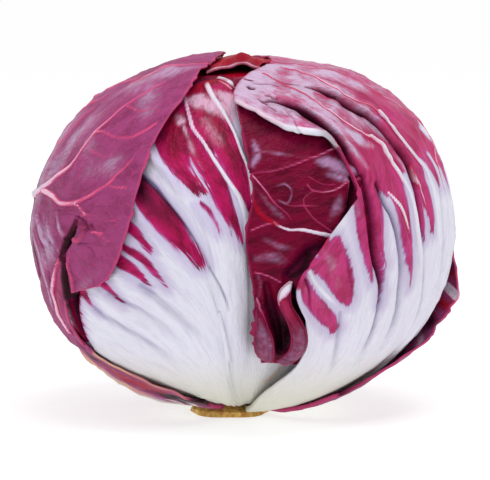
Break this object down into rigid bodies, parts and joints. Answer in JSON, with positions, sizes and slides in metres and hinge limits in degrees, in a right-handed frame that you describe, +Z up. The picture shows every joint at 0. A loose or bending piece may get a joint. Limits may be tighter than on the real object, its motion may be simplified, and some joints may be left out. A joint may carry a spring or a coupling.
{
  "type": "radicchio head",
  "caption": "Round head of radicchio: overlapping crimson leaves with white ribs and pleats, one ruffled corner, standing on its flat cut stem.",
  "frame": {"origin": "centre of the stem's flat cut face, on which the head stands", "axes": "+Z up through the head, -Y towards the white-based leaf at the front, +X to the right seen from the front"},
  "size_m": [0.1212, 0.115, 0.1023],
  "materials": {
    "cut_stem": "drying cut face of a stem, yellow-brown, matt and fibrous",
    "white_based_leaf": "crisp white leaf base that feathers into magenta, waxy satin",
    "crimson_leaf": "dark crimson leaf blade with pink veins, waxy satin sheen",
    "dusky_leaf": "dusky magenta outer leaf with a pale bloom and pink veins, soft satin"
  },
  "bodies": {
    "root": {"stem": "cut_stem", "heart": "crimson_leaf", "leaf_front": "white_based_leaf", "leaf_middle": "crimson_leaf", "leaf_right": "white_based_leaf", "leaf_left": "dusky_leaf", "leaf_back": "white_based_leaf", "leaf_right_outer": "dusky_leaf", "leaf_left_outer": "dusky_leaf"}
  },
  "joints": []
}
